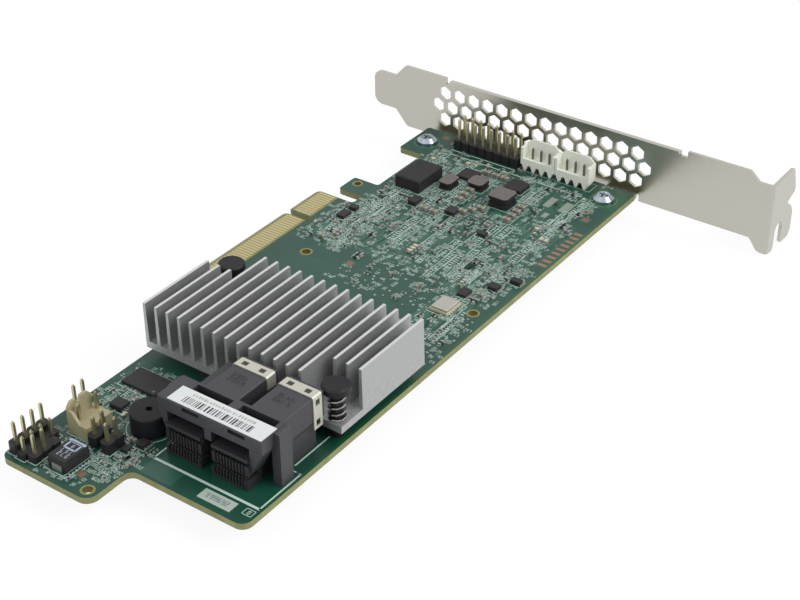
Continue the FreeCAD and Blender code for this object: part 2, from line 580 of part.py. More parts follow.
def make_sas_housing():
    """Ganged moulding: a latch bar over the two ports, two towers behind it, legs on the board."""
    ports = [sas_port_span(i) for i in range(2)]
    spans = [sas_tower_span(i) for i in range(2)]
    side = (spans[0][0], ports[1][1] + 0.9)
    body = box((SAS_BODY_FRONT, SAS_REAR), side, (0, SAS_SHOULDER))
    bar_section = [(SAS_FRONT, SAS_SHOULDER, 0.2), (SAS_BAR_REAR, SAS_SHOULDER, 0),
                   (SAS_BAR_REAR, SAS_TOP, 0.2), (SAS_FRONT, SAS_TOP, 0.5)]
    bar = plate(bar_section, lambda u, v: Vec(u, SAS_BAR_Y[0], v), Vec(0, SAS_BAR_Y[1] - SAS_BAR_Y[0], 0))
    towers = []
    foot, front = SAS_SHOULDER - 1, SAS_BAR_REAR - 0.5
    for y in spans:
        outline = [(y[0], foot, 0), (y[1], foot, 0), (y[1], SAS_TOP, 0.4), (y[0], SAS_TOP, 0.4)]
        towers.append(plate(outline, lambda u, v: Vec(front, u, v), Vec(SAS_REAR - front, 0, 0)))
    legs = []
    for outer, inner in ((SAS_BAR_Y[0] - 1.4, side[0] + 0.2), (SAS_BAR_Y[1] + 0.6, side[1] - 0.2)):
        profile = [(inner, 0, 0), (outer, 0, 0), (outer, SAS_TOP - 0.1, 0.4), (inner, SAS_TOP - 0.1, 0)]
        legs.append(plate(profile, lambda u, v: Vec(-142.2, u, v), Vec(3.7, 0, 0)))
    webs = [sas_gusset(SAS_BAR_Y[0], ports[0][0]), sas_gusset(SAS_BAR_Y[1], ports[1][1]),
            box((SAS_FRONT, -143.4), (ports[0][1] + 0.5, ports[1][0] - 0.5), (7.4, SAS_SHOULDER + 0.1))]
    solid = fuse(body, bar, *towers, *legs, *webs)
    cuts = []
    for y in spans:
        # latch window behind the bar, and the slot in the bar's front for the cable's hook
        cuts.append(box((-140.7, -138.7), (y[0] + 0.5, y[1] + 1.2), (8.2, SAS_TOP + 1)))
        cuts.append(box((SAS_FRONT - 1, SAS_FRONT + 0.8), (y[0] + 3.7, y[0] + 8.1), (11.8, 12.75)))
    # between the towers, and the undercut below the ledge on the near flank
    cuts.append(box((SAS_BAR_REAR, SAS_REAR + 1), (spans[0][1], spans[1][0]), (4.0, SAS_TOP + 1)))
    cuts.append(box((-138.5, SAS_REAR + 1), (side[0] - 1, side[0] + 0.9), (-1, 6.9)))
    cuts.append(box((-138.5, -127.6), (side[0] - 1, side[0] + 1.6), (6.6, 7.2)))
    cuts.append(box((-127.6, SAS_REAR + 1), (side[0] - 1, side[1] + 1), (-1, 6.9)))
    node("sas_connector_housing", solid.cut(cuts))


def comb(y, z, front, depth):
    """Row of ribs that keep the contacts apart, standing out of a block that is open to the front."""
    rib = 0.4
    back = front + depth
    rear = SAS_BODY_FRONT
    first = sum(y) / 2 - (SAS_RIBS - 1) * SAS_CONTACT_PITCH / 2
    points = [(rear, y[0]), (front, y[0]), (front, y[0] + 0.45), (back, y[0] + 0.45)]
    for i in range(SAS_RIBS):
        middle = first + i * SAS_CONTACT_PITCH
        points += [(back, middle - rib / 2), (front, middle - rib / 2), (front, middle + rib / 2),
                   (back, middle + rib / 2)]
    points += [(back, y[1] - 0.45), (front, y[1] - 0.45), (front, y[1]), (rear, y[1])]
    corners = [Vec(px, py, z[0]) for px, py in points]
    return Part.Face(Part.makePolygon(corners + corners[:1])).extrude(Vec(0, 0, z[1] - z[0]))


def make_sas_inserts():
    """Contact carriers: two combs a port, either side of the slot that takes the cable's blade."""
    inserts, contacts = [], []
    upper, lower = SAS_PORT_FRONT, SAS_PORT_FRONT - 0.35
    depth = 0.9
    for i in range(2):
        y = sas_port_span(i)
        rows = [comb(y, (3.4, 5.9), upper, depth), comb(y, (0.5, 2.4), lower, depth)]
        steps = ((upper + depth, (5.8, 6.9)), (upper, (6.8, 7.6)), (lower, (0.1, 0.6)), (-143.6, (0.1, 7.6)))
        blocks = [box((start, SAS_BODY_FRONT), y, z) for start, z in steps]
        pegs = [box_at(lower, end, 0.5, 0.6, (1.5, 2.2)) for end in (y[0] + 0.5, y[1] - 0.5)]
        hollow = box((-142.6, SAS_BODY_FRONT + 1), (y[0] - 1, y[0] + 0.6), (-1, 3.3))
        inserts.append(fuse(*rows, *blocks, *pegs).cut(hollow))
        first = sum(y) / 2 - (SAS_RIBS - 2) * SAS_CONTACT_PITCH / 2
        for j in range(SAS_RIBS - 1):
            middle = first + j * SAS_CONTACT_PITCH
            for front, z in ((upper, (3.4, 4.3)), (lower, (1.5, 2.4))):
                contacts.append(box((front + depth - 0.3, front + depth), (middle - 0.12, middle + 0.12), z))
    node("sas_contact_carriers", *inserts)
    node("sas_contacts", *contacts)


def make_sas_clips():
    """Folded metal straps over the rear of each tower, with square holes."""
    clips = []
    x = (-129.3, -126.5)
    for i in range(2):
        y = sas_tower_span(i)
        outer = (y[0] - CLIP_T, y[1] + CLIP_T)
        low = (5.2, SAS_SHOULDER + 0.2) if i == 0 else (SAS_SHOULDER + 0.2, SAS_SHOULDER + 0.2)
        top = SAS_TOP + CLIP_T
        outline = [(outer[0], low[0], 0), (y[0], low[0], 0), (y[0], SAS_TOP, 0.4), (y[1], SAS_TOP, 0.4),
                   (y[1], low[1], 0), (outer[1], low[1], 0), (outer[1], top, 0.65), (outer[0], top, 0.65)]
        strap = plate(outline, lambda u, v: Vec(x[0], u, v), Vec(x[1] - x[0], 0, 0))
        middle = sum(x) / 2
        above = (SAS_TOP - 0.1, top + 1)
        holes = [box_at(middle, y[0] + SAS_TOWER_W * share, 1.3, 1.5, above) for share in (0.24, 0.76)]
        if i == 0:
            holes += [box_at(middle, outer[0], 1.3, 0.8, (z, z + 1.5)) for z in (10.9, 5.9)]
        clips.append(strap.cut(holes))
    node("sas_clips", *clips)


def make_labels():
    """Blank paper label on the latch bar, and a small one on the board."""
    node("barcode_label", box((SAS_FRONT + 0.2, -140.85), (3.0, 27.6), (SAS_TOP, SAS_TOP + 0.12)))
    node("board_label", box((-154.1, -151.1), (5.3, 13.7), (0, 0.1)))


# ---------------------------------------------------------------- parts soldered to the board
def make_buzzer():
    x, y, r = -142.9, 36.2, 4.35
    can = rod(x, y, r, (0, 4.9))
    top = [e for e in can.Edges if e.CenterOfMass.z > 4.8 and e.Length > 20]
    can = can.makeChamfer(0.25, top)
    node("buzzer", can.cut(rod(x, y, 0.75, (2.9, 6))))


def package(x, y, z, chip=0.12):
    """Moulded chip package with broken top edges."""
    body = box(x, y, z)
    top = [e for e in body.Edges if abs(e.CenterOfMass.z - z[1]) < 1e-6]
    return body.makeChamfer(chip, top)


def make_chips():
    node("flash_chip", package((-135.2, -129.1), (42.5, 52.1), (0, 0.9)))
    node("monitor_chip", package((-142.9, -139.9), (45.0, 48.2), (0, 1.2)))
    node("power_mosfets", package((-19.0, -14.3), (38.2, 42.9), (0, 0.95)),
         package((-17.1, -12.3), (24.4, 29.6), (0, 0.95)))
    width, length, pitch = 9.0, 13.3, 10.4
    first = 2.1 + width / 2
    node("memory_chips", *[box_at(-79.4, first + pitch * i, length, width, (-BOARD_T - 1.1, -BOARD_T))
                           for i in range(5)])


def chamfered_plate(x, y, cut, z):
    """Flat rectangular plate with its four corners cut off."""
    corners = [(x[0] + cut, y[0]), (x[1] - cut, y[0]), (x[1], y[0] + cut), (x[1], y[1] - cut),
               (x[1] - cut, y[1]), (x[0] + cut, y[1]), (x[0], y[1] - cut), (x[0], y[0] + cut)]
    points = [Vec(u, v, z[0]) for u, v in corners]
    return Part.Face(Part.makePolygon(points + points[:1])).extrude(Vec(0, 0, z[1] - z[0]))


def bobbin(x, y, height):
    """Wire-wound inductor: a base, a narrower wound core and a top plate with cut corners."""
    sheet, inset = 0.28 * height, 0.55
    core = box((x[0] + inset, x[1] - inset), (y[0] + inset, y[1] - inset), (sheet / 2, height - sheet / 2))
    base, top = (chamfered_plate(x, y, 0.7, z) for z in ((0, sheet), (height - sheet, height)))
    return fuse(base, top, core)


def make_inductors():
    node("main_inductor", package((-31.5, -20.8), (46.0, 53.5), (0, 3.4), 0.3))
    blocks = (((-26.2, -21.0), (40.2, 43.9), 2.0), ((-22.2, -17.6), (33.1, 37.7), 2.0),
              ((-26.3, -20.6), (22.8, 28.6), 3.0))
    node("small_inductors", *[bobbin(x, y, h) for x, y, h in blocks])


def make_capacitor():
    """Moulded tantalum capacitor: tapered body over two folded terminals."""
    x, y, top = (-164.1, -157.3), (39.7, 44.8), 2.9
    mid = 1.4
    shrink = 0.18
    low = Part.makePolygon([Vec(x[0], y[0], mid), Vec(x[1], y[0], mid), Vec(x[1], y[1], mid),
                            Vec(x[0], y[1], mid), Vec(x[0], y[0], mid)])
    high = Part.makePolygon([Vec(x[0] + shrink, y[0] + shrink, top), Vec(x[1] - shrink, y[0] + shrink, top),
                             Vec(x[1] - shrink, y[1] - shrink, top), Vec(x[0] + shrink, y[1] - shrink, top),
                             Vec(x[0] + shrink, y[0] + shrink, top)])
    upper = Part.makeLoft([low, high], True)
    lower = box(x, y, (0.15, mid))
    node("capacitor", fuse(lower, upper))
    ends = []
    for side, inward in ((x[0], 1), (x[1], -1)):
        foot = box((side - inward * 0.15, side + inward * 1.3), (y[0] + 1.2, y[1] - 1.2), (0, 0.15))
        rise = box((side - inward * 0.15, side), (y[0] + 1.2, y[1] - 1.2), (0, mid))
        ends.append(fuse(foot, rise))
    node("capacitor_terminals", *ends)


def make_oscillator():
    x, y = (-73.6, -67.9), (8.5, 13.4)
    node("oscillator_base", box(x, y, (0, 0.6)))
    node("oscillator_lid", package((x[0] + 0.25, x[1] - 0.25), (y[0] + 0.25, y[1] - 0.25), (0.6, 1.3), 0.15))


def make_small_parts():
    """Larger surface-mount parts; the finest ones are too small to carry anything."""
    dark = ((-35.6, 44.3, 3.2, 2.4, 1.1), (-34.4, 33.7, 2.9, 2.9, 1.0), (-39.4, 21.3, 1.6, 2.4, 0.9),
            (-52.8, 2.9, 1.6, 2.6, 1.0), (-63.7, 10.4, 3.0, 2.4, 0.8), (-51.2, 55.4, 3.2, 2.4, 0.9),
            (-47.2, 55.2, 1.6, 2.2, 0.9), (-57.6, 6.0, 2.2, 2.6, 0.9), (-148.2, 33.4, 2.4, 2.0, 0.8),
            (-151.4, 35.2, 1.8, 1.6, 0.7))
    node("small_chips", *[box_at(x, y, length, width, (0, h)) for x, y, length, width, h in dark])
    caps = [(-33.2 + 1.9 * i, 31.2 - 1.5 * i) for i in range(3)]
    caps += [(-28.5 + 2.6 * i, 35.6) for i in range(3)]
    caps += [(-30.4 + 2.4 * i, 20.0) for i in range(4)]
    caps += [(-13.2, 31.4), (-13.2, 34.2), (-13.2, 37.0), (-37.5, 40.2), (-37.5, 37.2)]
    node("bulk_capacitors", *[box_at(x, y, 1.25, 2.0, (0, 1.1)) for x, y in caps])


make_header("tail_header", -164.45, 53.5, 4, 1, 7.6)
make_header("tail_middle_header", -164.8, 50.93, 4, 1, 5.1, LOW_HEADER_H)
make_header("tail_side_header", -164.2, 48.36, 3, 1, 6.4, LOW_HEADER_H, fitted=2)
make_header("rear_header", -149.1, 51.6, 2, 1, 8.3)
make_header("middle_header", -153.65, 38.0, 2, 1, 7.2)
make_header("middle_side_header", -153.55, 41.75, 2, 1, 7.2)
make_header("bracket_header", -4.93, 33.52, 2, 8, 8.7)
make_key_header()
make_cable_headers()
make_board(pin_places)
make_fingers()
make_copper_pads()
make_bracket()
make_screws()
make_heat_sink()
make_push_pins()
make_controller()
make_sas_housing()
make_sas_inserts()
make_sas_clips()
make_labels()
make_buzzer()
make_chips()
make_inductors()
make_capacitor()
make_oscillator()
make_small_parts()

os.makedirs("parts", exist_ok=True)
for name, shape in nodes.items():
    if not shape.isValid():
        raise ValueError("invalid shape: " + name)
    shape.exportStep("parts/" + name + ".step")
print(len(nodes), "sub-parts written")
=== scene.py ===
"""Looks for the RAID controller card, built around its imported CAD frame.

Places on the board are in millimetres in the board's own frame: its origin is the component face's
corner at the bracket end of the open edge, +X runs to the bracket, +Y to the contacts, +Z up.
A rectangle is (x, y, width, depth, angle): its middle, its two sizes and its turn in degrees.
"""
import math
import random

import bpy
from mathutils import Matrix, Vector
from mathutils.bvhtree import BVHTree


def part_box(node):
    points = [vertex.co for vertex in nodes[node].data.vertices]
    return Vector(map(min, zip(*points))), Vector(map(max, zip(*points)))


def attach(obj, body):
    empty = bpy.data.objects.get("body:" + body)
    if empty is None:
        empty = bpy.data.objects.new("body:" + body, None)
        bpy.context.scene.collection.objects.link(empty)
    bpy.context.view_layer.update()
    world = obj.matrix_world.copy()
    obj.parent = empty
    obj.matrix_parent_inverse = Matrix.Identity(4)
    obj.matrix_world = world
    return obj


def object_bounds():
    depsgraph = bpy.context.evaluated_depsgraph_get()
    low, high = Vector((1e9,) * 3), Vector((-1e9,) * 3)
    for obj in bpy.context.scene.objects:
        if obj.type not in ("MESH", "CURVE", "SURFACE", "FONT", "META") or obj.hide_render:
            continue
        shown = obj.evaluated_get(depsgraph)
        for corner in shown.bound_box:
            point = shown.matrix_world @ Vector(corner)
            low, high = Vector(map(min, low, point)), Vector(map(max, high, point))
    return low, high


MM = 0.001
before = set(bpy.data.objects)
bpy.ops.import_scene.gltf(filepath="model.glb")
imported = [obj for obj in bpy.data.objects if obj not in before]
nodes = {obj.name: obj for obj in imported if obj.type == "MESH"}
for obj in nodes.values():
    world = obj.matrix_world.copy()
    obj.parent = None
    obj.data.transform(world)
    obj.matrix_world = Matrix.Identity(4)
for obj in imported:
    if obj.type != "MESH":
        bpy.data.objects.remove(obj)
cad_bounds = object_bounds()
board_low, board_high = (Vector(corner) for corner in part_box("circuit_board"))
CORNER = Vector((board_high.x, board_low.y, board_high.z))
BOARD_T = (board_high.z - board_low.z) / MM
dice = random.Random(7)

# heights of the flat layers over the component face, and of marks over the part that carries them
BURIED_Z, TRACE_Z, OUTLINE_Z, PAD_Z, VIA_Z, INK_Z = 0.008, 0.012, 0.016, 0.02, 0.023, 0.03
PART_MARK, LABEL_MARK = 0.015, 0.02

# tooling holes (x, y, radius)
HOLES = [(-165.1, 32.8, 1.1), (-70.1, 52.5, 1.1), (-69.2, 4.3, 1.1), (-36.3, 62.2, 0.9)]
# tinned pads without a part near the cable headers, a dot (x, y, radius) and a ring (x, y, inner and
# outer radius) beside them, and the corner round them that carries no printed rows
EMPTY_PADS = [(-16.0, 15.9, 5.0, 2.0, 0), (-16.1, 11.3, 5.0, 2.0, 0), (-22.2, 13.7, 2.4, 1.4, 0)]
EMPTY_DOT = (-10.7, 13.7, 0.55)
PLATED_SPOT = (-14.6, 5.2, 0.4, 0.95)
PAD_CORNER = (-24.0, -9.0, 9.0, 18.0)
# mask over the ground area by the cable connector, and over bare board along the open edge and under
# the corner screw
GROUND_AREA = (-152.7, 24.4, 4.4, 8.6, 0)
CLEAR_BORDERS = [(-75.0, 0.45, 148.0, 0.55, 0), (-5.9, 5.0, 10.8, 8.0, 0)]
# a boxed numeral past the connector's outline, and the long line beside the headers at the bracket
NUMERAL_BOX = (-152.8, -151.0, 0.9, 3.1)
LONG_LINE = (-9.2, 32.0, 0.3, 42.0, 0)

# parts of the component side: (x0, x1, y0, y1)
MIDDLE = (-64.0, -8.0, 3.6, 56.0)
OPEN_EDGE = (-92.5, -46.0, 1.4, 15.5)
BESIDE_SINK = (-76.0, -63.0, 16.0, 44.0)
CONTACT_SIDE = (-66.0, -45.6, 46.0, 60.0)
TAIL_BLOCK = (-149.5, -126.0, 29.5, 54.3)
TAIL_END = (-166.4, -147.0, 31.5, 50.5)
BRACKET_EDGE = (-16.0, -0.8, 7.8, 57.0)
NOTCH_SIDE = (-156.5, -144.5, 30.2, 36.6)
POWER = (-42.0, -9.0, 22.0, 56.0)
TEST_LANDS = (-44.0, -25.0, 0.0, 3.3)

# how often something is tried in each of them
CHIP_ROWS = ((MIDDLE, 90), (POWER, 90), (BESIDE_SINK, 12), (OPEN_EDGE, 40), (CONTACT_SIDE, 34),
             (TAIL_BLOCK, 44), (TAIL_END, 20), (BRACKET_EDGE, 40), (NOTCH_SIDE, 24))
TRACK_GROUPS = ((MIDDLE, 150), (OPEN_EDGE, 30), (TAIL_BLOCK, 22), (TAIL_END, 10), (CONTACT_SIDE, 18))
VIAS = ((MIDDLE, 1000), (BESIDE_SINK, 90), (OPEN_EDGE, 150), (CONTACT_SIDE, 120), (TAIL_BLOCK, 160),
        (TAIL_END, 60))
NUMBERS = ((MIDDLE, 560), (BESIDE_SINK, 24), (OPEN_EDGE, 170), (CONTACT_SIDE, 90), (TAIL_BLOCK, 240),
           (TAIL_END, 260), (BRACKET_EDGE, 90), (NOTCH_SIDE, 150))
ROW_FRAMES = ((MIDDLE, 60), (OPEN_EDGE, 11), (CONTACT_SIDE, 8), (TAIL_BLOCK, 8), (TAIL_END, 8))


def span(node):
    """A CAD node's box in the board's frame: ((x0, x1), (y0, y1), (z0, z1)) in mm."""
    low, high = (Vector(corner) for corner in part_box(node))
    return tuple(((low[i] - CORNER[i]) / MM, (high[i] - CORNER[i]) / MM) for i in range(3))


def inside(x, y, zone, margin=0.0):
    """True where a place lies in a zone and at least the margin from its edges."""
    return zone[0] + margin <= x <= zone[1] - margin and zone[2] + margin <= y <= zone[3] - margin


# ---------------------------------------------------------------- materials
def linear(red, green, blue):
    """Linear colour from 0-255 display values."""
    return tuple(c / 12.92 if c <= 0.04045 else ((c + 0.055) / 1.055) ** 2.4
                 for c in (red / 255, green / 255, blue / 255))


def shader_node(tree, kind, **values):
    """New shader node with some inputs set; an underscore in a name stands for a space."""
    node = tree.nodes.new(kind)
    for name, value in values.items():
        node.inputs[name.replace("_", " ")].default_value = value
    return node


def material(name, colour, roughness=0.5, metallic=0.0, specular=0.5, mottle=0.0, grain=0.0, scale=900.0):
    """Principled material; mottle varies its colour and grain its surface, both by object-space noise."""
    made = bpy.data.materials.new(name)
    made.use_nodes = True
    tree = made.node_tree
    shader = tree.nodes["Principled BSDF"]
    base = linear(*colour)
    shader.inputs["Base Color"].default_value = (*base, 1)
    shader.inputs["Roughness"].default_value = roughness
    shader.inputs["Metallic"].default_value = metallic
    shader.inputs["Specular IOR Level"].default_value = specular
    if mottle or grain:
        place = tree.nodes.new("ShaderNodeTexCoord")
        noise = shader_node(tree, "ShaderNodeTexNoise", Scale=scale, Detail=4)
        tree.links.new(place.outputs["Object"], noise.inputs["Vector"])
    if mottle:
        ramp = tree.nodes.new("ShaderNodeValToRGB")
        dark, light = ramp.color_ramp.elements
        dark.position, light.position = 0.3, 0.7
        dark.color = (*(c * (1 - mottle) for c in base), 1)
        light.color = (*(min(c * (1 + mottle), 1) for c in base), 1)
        tree.links.new(noise.outputs["Fac"], ramp.inputs["Fac"])
        tree.links.new(ramp.outputs["Color"], shader.inputs["Base Color"])
    if grain:
        bump = shader_node(tree, "ShaderNodeBump", Strength=grain, Distance=0.0001)
        tree.links.new(noise.outputs["Fac"], bump.inputs["Height"])
        tree.links.new(bump.outputs["Normal"], shader.inputs["Normal"])
    return made


# the board, its copper and what is printed on it
mask = material("solder_mask_green", (20, 68, 54), 0.36, specular=0.4, mottle=0.12, scale=60)
mask_pale = material("mask_over_ground", (34, 82, 69), 0.36)
mask_clear = material("mask_over_bare_board", (30, 82, 50), 0.36, specular=0.4)
laminate = material("board_edge", (130, 131, 86), 0.6, mottle=0.15, scale=400)
copper_green = material("tracks_under_mask", (66, 114, 96), 0.4)
copper_faint = material("tracks_deep_under_mask", (34, 82, 68), 0.36)
copper = material("bare_copper", (152, 116, 92), 0.5, metallic=0.3)
copper_dull = material("dull_copper", (126, 98, 82), 0.5, metallic=0.3)
hole_plating = material("hole_plating", (110, 95, 50), 0.5, metallic=0.4)
hole_ring = material("hole_ring", (132, 136, 72), 0.45, metallic=0.3)
pad_pale = material("empty_pads", (142, 152, 140), 0.45, metallic=0.3)
ink = material("marking_ink", (184, 205, 194), 0.6)

# metals
solder = material("solder", (170, 172, 168), 0.45, metallic=0.7)
gold = material("gold_plate", (194, 180, 136), 0.32, metallic=0.9)
pin_gold = material("pin_plate", (196, 189, 152), 0.34, metallic=0.9)
pin_tin = material("pin_tin", (120, 120, 114), 0.4, metallic=0.8)
nickel = material("bracket_nickel", (187, 185, 175), 0.28, metallic=1.0, mottle=0.03, grain=0.06,
                  scale=1500)
screw_steel = material("screw_zinc", (166, 177, 186), 0.22, metallic=1.0)
aluminium = material("heat_sink_aluminium", (174, 176, 175), 0.5, metallic=0.75, mottle=0.12, grain=0.4,
                     scale=2600)
# a lighter grey for the fins' upward faces: a painted highlight where the light falls on them
fin_top_highlight = material("painted_fin_top_highlight", (206, 207, 205), 0.4, metallic=0.5)
spring_steel = material("spring_wire", (140, 140, 138), 0.3, metallic=1.0)
strap = material("tinned_strap", (196, 194, 181), 0.4, metallic=0.6)
lid_metal = material("oscillator_lid", (176, 174, 165), 0.35, metallic=0.5)

# plastics, labels and their inks
black_nylon = material("black_nylon", (26, 26, 29), 0.5, specular=0.25)
connector_black = material("connector_plastic", (54, 54, 59), 0.5, mottle=0.08, scale=1500)
moulded_mark = material("moulded_marks", (28, 28, 31), 0.6)
carrier_black = material("carrier_plastic", (36, 36, 39), 0.55)
header_black = material("header_plastic", (32, 32, 34), 0.5, specular=0.3)
cream = material("cream_nylon", (164, 156, 124), 0.5, mottle=0.05, scale=700)
white_nylon = material("white_nylon", (240, 242, 230), 0.5)
label_film = material("label_film", (218, 222, 222), 0.55)
label_dull = material("board_label_film", (170, 184, 174), 0.6)
label_ink = material("label_ink", (52, 52, 56), 0.6)
label_faint = material("label_faint_ink", (124, 128, 126), 0.6)

# chips, ferrites and ceramics
package = material("chip_moulding", (40, 40, 42), 0.55, specular=0.3, mottle=0.12, scale=1800)
mark_blue = material("capacitor_mark", (168, 178, 196), 0.6)
# black ferrite also darkens the small inductors' sides below their grey tops, as painted shade
ferrite = material("ferrite_black", (36, 36, 36), 0.6, specular=0.3, mottle=0.2, scale=1800)
ferrite_grey = material("ferrite_grey", (106, 101, 98), 0.6, specular=0.3, mottle=0.15, scale=1800)
ceramic_tan = material("ceramic_tan", (126, 116, 100), 0.5)
ceramic_cream = material("ceramic_cream", (206, 196, 164), 0.5)
thermal_grey = material("thermal_grey", (150, 152, 156), 0.8)

DRESS = {
    "edge_contacts": gold, "bracket": nickel, "bracket_screws": screw_steel,
    "heat_sink": aluminium, "push_pins": black_nylon, "push_pin_springs": spring_steel,
    "controller_chip": package, "thermal_pad": thermal_grey, "memory_chips": package,
    "sas_connector_housing": connector_black, "sas_contact_carriers": carrier_black,
    "sas_contacts": pin_gold, "sas_clips": strap, "barcode_label": label_film, "board_label": label_dull,
    "buzzer": black_nylon, "key_header_shroud": cream, "cable_header_shrouds": white_nylon,
    "flash_chip": package, "monitor_chip": package, "power_mosfets": package, "main_inductor": ferrite,
    "capacitor": package, "capacitor_terminals": solder, "oscillator_base": ceramic_cream,
    "oscillator_lid": lid_metal, "small_chips": package, "bulk_capacitors": ceramic_tan,
}


def dress_nodes():
    """One look for each CAD node; header pins and header bases are told by the end of their names."""
    for name, thing in nodes.items():
        if name == "cable_header_pins":
            look = pin_tin
        elif name.endswith("header_pins"):
            look = pin_gold
        elif name.endswith("header_base"):
            look = header_black
        else:
            look = DRESS.get(name)
        if look:
            thing.data.materials.clear()
            thing.data.materials.append(look)


def two_looks(node, first, second, chosen):
    """Second look on the faces for which chosen(centre in board mm, normal) is true, the first elsewhere."""
    mesh = nodes[node].data
    mesh.materials.clear()
    mesh.materials.append(first)
    mesh.materials.append(second)
    for face in mesh.polygons:
        face.material_index = int(chosen((face.center - CORNER) / MM, face.normal))


def dress_board():
    """Green mask on both faces, bare laminate round the edges and plating in the holes."""
    level, past_hole = 0.99, 0.1
    two_looks("circuit_board", laminate, mask, lambda centre, normal: abs(normal.z) > level)
    mesh = nodes["circuit_board"].data
    mesh.materials.append(hole_plating)
    for face in mesh.polygons:
        centre = (face.center - CORNER) / MM
        in_hole = any(math.dist(centre.xy, (x, y)) < r + past_hole for x, y, r in HOLES)
        if face.material_index == 0 and in_hole:
            face.material_index = 2


def dress_tops():
    """Lighter fin tops as a painted highlight, grey ferrite tops above sides darkened as painted shade, and
    warm test lands beside dull targets.
    """
    fin_edge, ferrite_shoulder, upward = span("heat_sink")[2][1] - 0.1, 1.5, 0.9
    # upward fin faces get the lighter grey, a painted highlight
    two_looks("heat_sink", aluminium, fin_top_highlight,
              lambda centre, normal: normal.z > upward and centre.z > fin_edge)
    # grey ferrite on the upward tops only; the sides stay black ferrite as painted shade
    two_looks("small_inductors", ferrite, ferrite_grey,
              lambda centre, normal: normal.z > upward and centre.z > ferrite_shoulder)
    two_looks("copper_pads", copper_dull, copper,
              lambda centre, normal: inside(centre.x, centre.y, TEST_LANDS))


# ---------------------------------------------------------------- building flat and boxy pieces
def new_piece(name, vertices, faces, look):
    """A piece with one look, from corners in board millimetres; it rides on the card's only body."""
    mesh = bpy.data.meshes.new(name)
    mesh.from_pydata([tuple(CORNER + Vector(v) * MM) for v in vertices], [], faces)
    mesh.materials.append(look)
    piece = bpy.data.objects.new(name, mesh)
    bpy.context.scene.collection.objects.link(piece)
    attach(piece, "root")
    return piece


def direction(angle):
    """Cosine and sine of an angle in degrees."""
    return math.cos(math.radians(angle)), math.sin(math.radians(angle))


def turned(x, y, width, depth, angle):
    """The four corners of a rectangle."""
    c, s = direction(angle)
    halves = ((-1, -1), (1, -1), (1, 1), (-1, 1))
    return [(x + (u * width * c - v * depth * s) / 2, y + (u * width * s + v * depth * c) / 2)
            for u, v in halves]


def circle(x, y, radius, sides, offset=0.0):
    """The corners of a regular polygon, turned on by offset sides."""
    turns = [2 * math.pi * (i + offset) / sides for i in range(sides)]
    return [(x + radius * math.cos(turn), y + radius * math.sin(turn)) for turn in turns]


def flats(name, rectangles, z, look):
    """One mesh of flat rectangles at one height."""
    vertices, faces = [], []
    for rectangle in rectangles:
        start = len(vertices)
        vertices += [(x, y, z) for x, y in turned(*rectangle)]
        faces.append(tuple(range(start, start + 4)))
    return new_piece(name, vertices, faces, look)


def blocks(name, boxes, look):
    """One mesh of boxes (x, y, width, depth, low z, high z, angle)."""
    sides = ((3, 2, 1, 0), (4, 5, 6, 7), (0, 1, 5, 4), (1, 2, 6, 5), (2, 3, 7, 6), (3, 0, 4, 7))
    vertices, faces = [], []
    for x, y, width, depth, low, high, angle in boxes:
        start = len(vertices)
        vertices += [(u, v, z) for z in (low, high) for u, v in turned(x, y, width, depth, angle)]
        faces += [tuple(start + i for i in side) for side in sides]
    return new_piece(name, vertices, faces, look)


def rings(name, circles, z, look, sides=20):
    """One mesh of flat rings (x, y, inner radius, outer radius)."""
    vertices, faces = [], []
    for x, y, inner, outer in circles:
        start = len(vertices)
        for pair in zip(circle(x, y, inner, sides), circle(x, y, outer, sides)):
            vertices += [(u, v, z) for u, v in pair]
        for i in range(sides):
            a, b = start + 2 * i, start + 2 * ((i + 1) % sides)
            faces.append((a, a + 1, b + 1, b))
    return new_piece(name, vertices, faces, look)


def discs(name, spots, z, look, sides=8):
    """One mesh of flat discs (x, y, radius)."""
    vertices, faces = [], []
    for x, y, radius in spots:
        start = len(vertices)
        vertices += [(u, v, z) for u, v in circle(x, y, radius, sides, 0.5)]
        faces.append(tuple(range(start, start + sides)))
    return new_piece(name, vertices, faces, look)


def stroke(start, stop, width):
    """Rectangle along a line between two points, a little longer so that strokes join at corners."""
    run, rise = stop[0] - start[0], stop[1] - start[1]
    return ((start[0] + stop[0]) / 2, (start[1] + stop[1]) / 2, math.hypot(run, rise) + width * 0.6, width,
            math.degrees(math.atan2(rise, run)))


def polyline(points, width):
    """Strokes from point to point, without steps too short to see."""
    return [stroke(a, b, width) for a, b in zip(points, points[1:]) if math.dist(a, b) > 0.05]


def frame_lines(x0, x1, y0, y1, width):
    """Four rectangles that outline a box."""
    x, y, w, d = (x0 + x1) / 2, (y0 + y1) / 2, x1 - x0, y1 - y0
    return [(x, y0, w, width, 0), (x, y1, w, width, 0), (x0, y, width, d, 0), (x1, y, width, d, 0)]


def outline(box, margin, width):
    """Four rectangles round a part's box, the margin away from it."""
    (x0, x1), (y0, y1), _ = box
    return frame_lines(x0 - margin, x1 + margin, y0 - margin, y1 + margin, width)


# ---------------------------------------------------------------- what already stands on the board
board_mesh = nodes["circuit_board"].data
board_tree = BVHTree.FromPolygons([v.co for v in board_mesh.vertices],
                                  [p.vertices for p in board_mesh.polygons])


def on_board(x, y):
    """True where the component face is solid: off the holes and inside the outline."""
    above, reach, flush = 1.0, 2.0, 0.01
    hit = board_tree.ray_cast(CORNER + Vector((x, y, above)) * MM, Vector((0, 0, -1)), reach * MM)[0]
    return hit is not None and abs(hit.z - CORNER.z) < flush * MM


